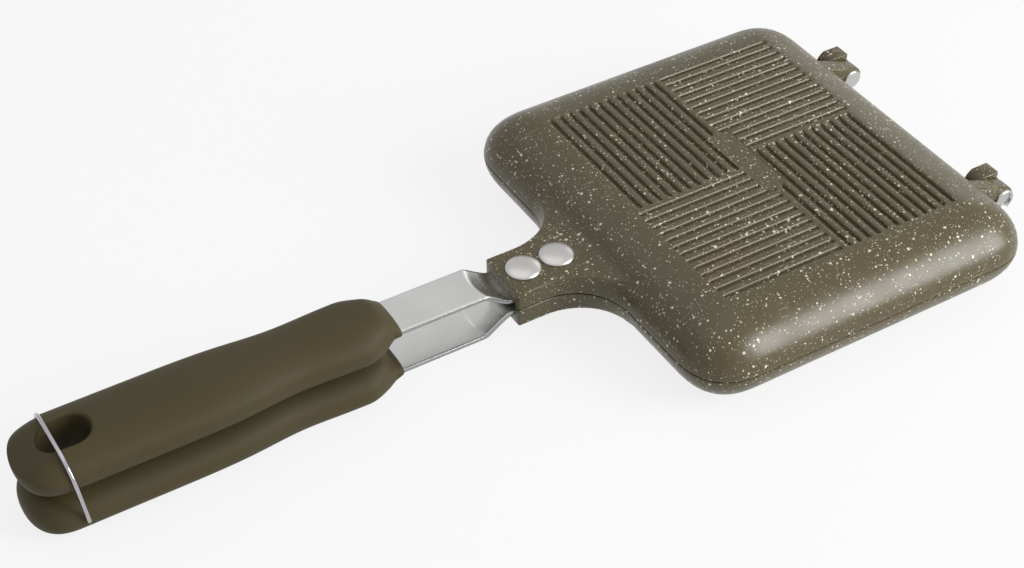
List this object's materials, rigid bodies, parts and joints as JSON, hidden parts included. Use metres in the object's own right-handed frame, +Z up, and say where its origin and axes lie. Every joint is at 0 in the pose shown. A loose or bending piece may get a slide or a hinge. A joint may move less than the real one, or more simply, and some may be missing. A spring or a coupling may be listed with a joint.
{
  "type": "pie iron",
  "caption": "Hinged camping sandwich toaster: two domed ribbed pans, riveted strap handles with rubber grips, and a wire bail that holds the grips shut.",
  "frame": {"origin": "middle of the lower pan's outer face, which the shut iron rests on", "axes": "+X along the handle from the grips to the hinge, +Z up, +Y to the left seen from the grips"},
  "size_m": [0.3832, 0.168, 0.0358],
  "materials": {
    "coated_pan": "satin speckled non-stick coat",
    "strap_steel": "satin",
    "grip_rubber": "matte",
    "rivet_metal": "satin",
    "pin_steel": "bright",
    "bail_wire": "bright"
  },
  "bodies": {
    "lower": {"lower_pan": "coated_pan", "lower_strap": "strap_steel", "lower_grip": "grip_rubber", "lower_rivet_front": "rivet_metal", "lower_rivet_rear": "rivet_metal"},
    "upper": {"upper_pan": "coated_pan", "upper_strap": "strap_steel", "upper_grip": "grip_rubber", "upper_rivet_front": "rivet_metal", "upper_rivet_rear": "rivet_metal", "hinge_pin_right": "pin_steel", "hinge_pin_left": "pin_steel"},
    "bail": {"wire_bail": "bail_wire"}
  },
  "joints": [
    {"name": "pan_hinge", "type": "hinge", "parent": "lower", "child": "upper", "pos_m": [0.084, 0, 0.0177], "axis": [0, 1, 0], "range_deg": [0, 180]},
    {"name": "bail_swing", "type": "hinge", "parent": "lower", "child": "bail", "pos_m": [-0.277, 0, 0.0085], "axis": [0, -1, 0], "range_deg": [0, 240]}
  ]
}
